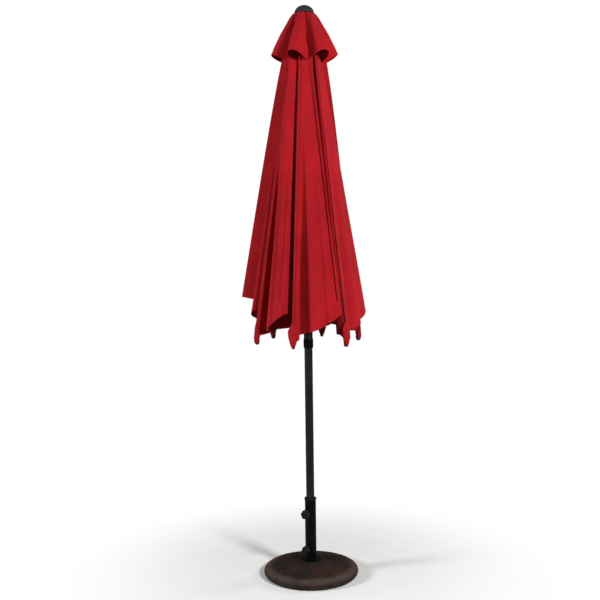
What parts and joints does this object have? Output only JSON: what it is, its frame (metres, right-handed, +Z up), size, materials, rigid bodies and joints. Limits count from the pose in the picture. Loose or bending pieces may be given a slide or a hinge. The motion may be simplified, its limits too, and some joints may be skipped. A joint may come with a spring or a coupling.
{
  "type": "patio umbrella",
  "caption": "Closed centre-pole patio umbrella with a vented canopy, a two-piece pole, a crank and a round weighted base with a tightening-knob tube.",
  "frame": {"origin": "centre of the base's underside, on the ground", "axes": "+Z up along the pole, front towards -Y, +X to the right seen from the front"},
  "size_m": [0.5139, 0.4561, 2.45],
  "materials": {
    "stone": "cast resin and stone, matt with a slight polish",
    "black_steel": "gloss black powder coat on steel tube",
    "black_paint": "black powder coat",
    "plastic": "moulded black polypropylene",
    "grey_plastic": "moulded dark grey-green plastic",
    "steel": "zinc-plated steel",
    "aluminium": "grey powder-coated steel section",
    "canvas": "solution-dyed polyester canvas"
  },
  "bodies": {
    "stand": {"base_weight": "stone", "base_collar_ring": "black_paint", "stand_insert_nut": "steel", "stand_foot_plug": "plastic", "stand_tube": "black_paint", "stand_top_bush": "plastic"},
    "upper_knob": {"upper_knob": "plastic"},
    "lower_knob": {"lower_knob": "plastic"},
    "pole": {"lower_pole": "black_steel", "upper_pole": "black_steel", "pole_ferrule": "black_paint", "finial_cap": "grey_plastic", "pulley_pin": "steel", "top_hub": "plastic", "top_hub_ring": "steel", "crank_housing": "plastic", "vent_top": "canvas"},
    "pulley": {"top_pulley": "plastic"},
    "crank": {"crank_arm": "plastic", "crank_spool": "plastic"},
    "crank_knob": {"crank_knob": "plastic"},
    "runner": {"runner": "plastic", "runner_ring": "steel"},
    "rib_1": {"rib_1": "aluminium", "rib_tip_1": "plastic"},
    "strut_1": {"strut_1": "aluminium"},
    "rib_2": {"rib_2": "aluminium", "rib_tip_2": "plastic"},
    "strut_2": {"strut_2": "aluminium"},
    "rib_3": {"rib_3": "aluminium", "rib_tip_3": "plastic"},
    "strut_3": {"strut_3": "aluminium"},
    "rib_4": {"rib_4": "aluminium", "rib_tip_4": "plastic"},
    "strut_4": {"strut_4": "aluminium"},
    "rib_5": {"rib_5": "aluminium", "rib_tip_5": "plastic"},
    "strut_5": {"strut_5": "aluminium"},
    "rib_6": {"rib_6": "aluminium", "rib_tip_6": "plastic"},
    "strut_6": {"strut_6": "aluminium"},
    "gore_1_leading": {"gore_1_leading_panel": "canvas"},
    "gore_1_trailing": {"gore_1_trailing_panel": "canvas"},
    "gore_2_leading": {"gore_2_leading_panel": "canvas"},
    "gore_2_trailing": {"gore_2_trailing_panel": "canvas"},
    "gore_3_leading": {"gore_3_leading_panel": "canvas"},
    "gore_3_trailing": {"gore_3_trailing_panel": "canvas"},
    "gore_4_leading": {"gore_4_leading_panel": "canvas"},
    "gore_4_trailing": {"gore_4_trailing_panel": "canvas"},
    "gore_5_leading": {"gore_5_leading_panel": "canvas"},
    "gore_5_trailing": {"gore_5_trailing_panel": "canvas"},
    "gore_6_leading": {"gore_6_leading_panel": "canvas"},
    "gore_6_trailing": {"gore_6_trailing_panel": "canvas"}
  },
  "joints": [
    {"name": "pole_swivel", "type": "hinge", "parent": "stand", "child": "pole", "pos_m": [0, 0, 0.2], "axis": [0, 0, 1], "continuous": true},
    {"name": "upper_knob_turn", "type": "hinge", "parent": "stand", "child": "upper_knob", "pos_m": [-0.02179, -0.03355, 0.272], "axis": [-0.5446, -0.8387, 0], "range_deg": [0, 360]},
    {"name": "lower_knob_turn", "type": "hinge", "parent": "stand", "child": "lower_knob", "pos_m": [-0.02179, -0.03355, 0.116], "axis": [-0.5446, -0.8387, 0], "range_deg": [0, 360]},
    {"name": "rib_1_hinge", "type": "hinge", "parent": "pole", "child": "rib_1", "pos_m": [-0.00965, -0.03364, 2.375], "axis": [-0.9613, 0.2756, 0], "range_deg": [0, 65], "deforming": ["vent_top"]},
    {"name": "strut_1_hinge", "type": "hinge", "parent": "rib_1", "child": "strut_1", "pos_m": [-0.02715, -0.09467, 1.80832], "axis": [-0.9613, 0.2756, 0], "range_deg": [-130, 0]},
    {"name": "rib_2_hinge", "type": "hinge", "parent": "pole", "child": "rib_2", "pos_m": [0.02431, -0.02518, 2.375], "axis": [-0.7193, -0.6947, 0], "range_deg": [0, 65]},
    {"name": "strut_2_hinge", "type": "hinge", "parent": "rib_2", "child": "strut_2", "pos_m": [0.06841, -0.07084, 1.80832], "axis": [-0.7193, -0.6947, 0], "range_deg": [-130, 0]},
    {"name": "rib_3_hinge", "type": "hinge", "parent": "pole", "child": "rib_3", "pos_m": [0.03396, 0.00847, 2.375], "axis": [0.2419, -0.9703, 0], "range_deg": [0, 65]},
    {"name": "strut_3_hinge", "type": "hinge", "parent": "rib_3", "child": "strut_3", "pos_m": [0.09556, 0.02383, 1.80832], "axis": [0.2419, -0.9703, 0], "range_deg": [-130, 0]},
    {"name": "rib_4_hinge", "type": "hinge", "parent": "pole", "child": "rib_4", "pos_m": [0.00965, 0.03364, 2.375], "axis": [0.9613, -0.2756, 0], "range_deg": [0, 65]},
    {"name": "strut_4_hinge", "type": "hinge", "parent": "rib_4", "child": "strut_4", "pos_m": [0.02715, 0.09467, 1.80832], "axis": [0.9613, -0.2756, 0], "range_deg": [-130, 0]},
    {"name": "rib_5_hinge", "type": "hinge", "parent": "pole", "child": "rib_5", "pos_m": [-0.02431, 0.02518, 2.375], "axis": [0.7193, 0.6947, 0], "range_deg": [0, 65]},
    {"name": "strut_5_hinge", "type": "hinge", "parent": "rib_5", "child": "strut_5", "pos_m": [-0.06841, 0.07084, 1.80832], "axis": [0.7193, 0.6947, 0], "range_deg": [-130, 0]},
    {"name": "rib_6_hinge", "type": "hinge", "parent": "pole", "child": "rib_6", "pos_m": [-0.03396, -0.00847, 2.375], "axis": [-0.2419, 0.9703, 0], "range_deg": [0, 65]},
    {"name": "strut_6_hinge", "type": "hinge", "parent": "rib_6", "child": "strut_6", "pos_m": [-0.09556, -0.02383, 1.80832], "axis": [-0.2419, 0.9703, 0], "range_deg": [-130, 0]},
    {"name": "runner_hinge", "type": "hinge", "parent": "strut_1", "child": "runner", "pos_m": [-0.00965, -0.03364, 1.24164], "axis": [-0.9613, 0.2756, 0], "range_deg": [0, 65]},
    {"name": "gore_1_leading_wing", "type": "hinge", "parent": "rib_1", "child": "gore_1_leading", "pos_m": [-0.0169, -0.04561, 2.37559], "axis": [-0.3222, -0.1164, 0.9395], "range_deg": [0, 68], "deforming": ["gore_1_leading_panel"]},
    {"name": "gore_1_trailing_wing", "type": "hinge", "parent": "rib_2", "child": "gore_1_trailing", "pos_m": [0.0307, -0.03586, 2.37753], "axis": [-0.2882, 0.0329, -0.957], "range_deg": [0, 72], "deforming": ["gore_1_trailing_panel"]},
    {"name": "gore_2_leading_wing", "type": "hinge", "parent": "rib_2", "child": "gore_2_leading", "pos_m": [0.03001, -0.03789, 2.3752], "axis": [-0.0621, -0.3731, 0.9257], "range_deg": [0, 68], "deforming": ["gore_2_leading_panel"]},
    {"name": "gore_2_trailing_wing", "type": "hinge", "parent": "rib_3", "child": "gore_2_trailing", "pos_m": [0.04664, 0.00804, 2.37766], "axis": [-0.2098, -0.24, -0.9478], "range_deg": [0, 72], "deforming": ["gore_2_trailing_panel"]},
    {"name": "gore_3_leading_wing", "type": "hinge", "parent": "rib_3", "child": "gore_3_leading", "pos_m": [0.04733, 0.00972, 2.37617], "axis": [0.2651, -0.1977, 0.9437], "range_deg": [0, 68], "deforming": ["gore_3_leading_panel"]},
    {"name": "gore_3_trailing_wing", "type": "hinge", "parent": "rib_4", "child": "gore_3_trailing", "pos_m": [0.01474, 0.04512, 2.37728], "axis": [0.1377, -0.2616, -0.9553], "range_deg": [0, 72], "deforming": ["gore_3_trailing_panel"]},
    {"name": "gore_4_leading_wing", "type": "hinge", "parent": "rib_4", "child": "gore_4_leading", "pos_m": [0.01524, 0.04585, 2.37617], "axis": [0.3038, 0.1308, 0.9437], "range_deg": [0, 68], "deforming": ["gore_4_leading_panel"]},
    {"name": "gore_4_trailing_wing", "type": "hinge", "parent": "rib_5", "child": "gore_4_trailing", "pos_m": [-0.03171, 0.03533, 2.37728], "axis": [0.2953, -0.0116, -0.9553], "range_deg": [0, 72], "deforming": ["gore_4_trailing_panel"]},
    {"name": "gore_5_leading_wing", "type": "hinge", "parent": "rib_5", "child": "gore_5_leading", "pos_m": [-0.03153, 0.03749, 2.37571], "axis": [0.0699, 0.3022, 0.9507], "range_deg": [0, 68], "deforming": ["gore_5_leading_panel"]},
    {"name": "gore_5_trailing_wing", "type": "hinge", "parent": "rib_6", "child": "gore_5_trailing", "pos_m": [-0.04617, -0.00882, 2.37747], "axis": [0.14, 0.2169, -0.9661], "range_deg": [0, 72], "deforming": ["gore_5_trailing_panel"]},
    {"name": "gore_6_leading_wing", "type": "hinge", "parent": "rib_6", "child": "gore_6_leading", "pos_m": [-0.04795, -0.00817, 2.37559], "axis": [-0.2619, 0.2209, 0.9395], "range_deg": [0, 68], "deforming": ["gore_6_leading_panel"]},
    {"name": "gore_6_trailing_wing", "type": "hinge", "parent": "rib_1", "child": "gore_6_trailing", "pos_m": [-0.01571, -0.04452, 2.37753], "axis": [-0.1156, 0.2661, -0.957], "range_deg": [0, 72], "deforming": ["gore_6_trailing_panel"]},
    {"name": "crank_turn", "type": "hinge", "parent": "pole", "child": "crank", "pos_m": [0.045, 0, 1.15], "axis": [1, 0, 0], "range_deg": [0, 3240]},
    {"name": "crank_knob_spin", "type": "hinge", "parent": "crank", "child": "crank_knob", "pos_m": [0.08, 0, 1.222], "axis": [1, 0, 0], "continuous": true},
    {"name": "pulley_turn", "type": "hinge", "parent": "pole", "child": "pulley", "pos_m": [0, 0, 2.34], "axis": [1, 0, 0], "continuous": true}
  ],
  "couplings": [
    {"joint": "strut_1_hinge", "follows": "rib_1_hinge", "ratio": -2},
    {"joint": "rib_2_hinge", "follows": "rib_1_hinge", "ratio": 1},
    {"joint": "strut_2_hinge", "follows": "rib_1_hinge", "ratio": -2},
    {"joint": "rib_3_hinge", "follows": "rib_1_hinge", "ratio": 1},
    {"joint": "strut_3_hinge", "follows": "rib_1_hinge", "ratio": -2},
    {"joint": "rib_4_hinge", "follows": "rib_1_hinge", "ratio": 1},
    {"joint": "strut_4_hinge", "follows": "rib_1_hinge", "ratio": -2},
    {"joint": "rib_5_hinge", "follows": "rib_1_hinge", "ratio": 1},
    {"joint": "strut_5_hinge", "follows": "rib_1_hinge", "ratio": -2},
    {"joint": "rib_6_hinge", "follows": "rib_1_hinge", "ratio": 1},
    {"joint": "strut_6_hinge", "follows": "rib_1_hinge", "ratio": -2},
    {"joint": "runner_hinge", "follows": "rib_1_hinge", "ratio": 1},
    {"joint": "gore_1_leading_wing", "follows": "rib_1_hinge", "ratio": 1.0462},
    {"joint": "gore_1_trailing_wing", "follows": "rib_1_hinge", "ratio": 1.1077},
    {"joint": "gore_2_leading_wing", "follows": "rib_1_hinge", "ratio": 1.0462},
    {"joint": "gore_2_trailing_wing", "follows": "rib_1_hinge", "ratio": 1.1077},
    {"joint": "gore_3_leading_wing", "follows": "rib_1_hinge", "ratio": 1.0462},
    {"joint": "gore_3_trailing_wing", "follows": "rib_1_hinge", "ratio": 1.1077},
    {"joint": "gore_4_leading_wing", "follows": "rib_1_hinge", "ratio": 1.0462},
    {"joint": "gore_4_trailing_wing", "follows": "rib_1_hinge", "ratio": 1.1077},
    {"joint": "gore_5_leading_wing", "follows": "rib_1_hinge", "ratio": 1.0462},
    {"joint": "gore_5_trailing_wing", "follows": "rib_1_hinge", "ratio": 1.1077},
    {"joint": "gore_6_leading_wing", "follows": "rib_1_hinge", "ratio": 1.0462},
    {"joint": "gore_6_trailing_wing", "follows": "rib_1_hinge", "ratio": 1.1077},
    {"joint": "crank_turn", "follows": "rib_1_hinge", "ratio": 49.846}
  ]
}
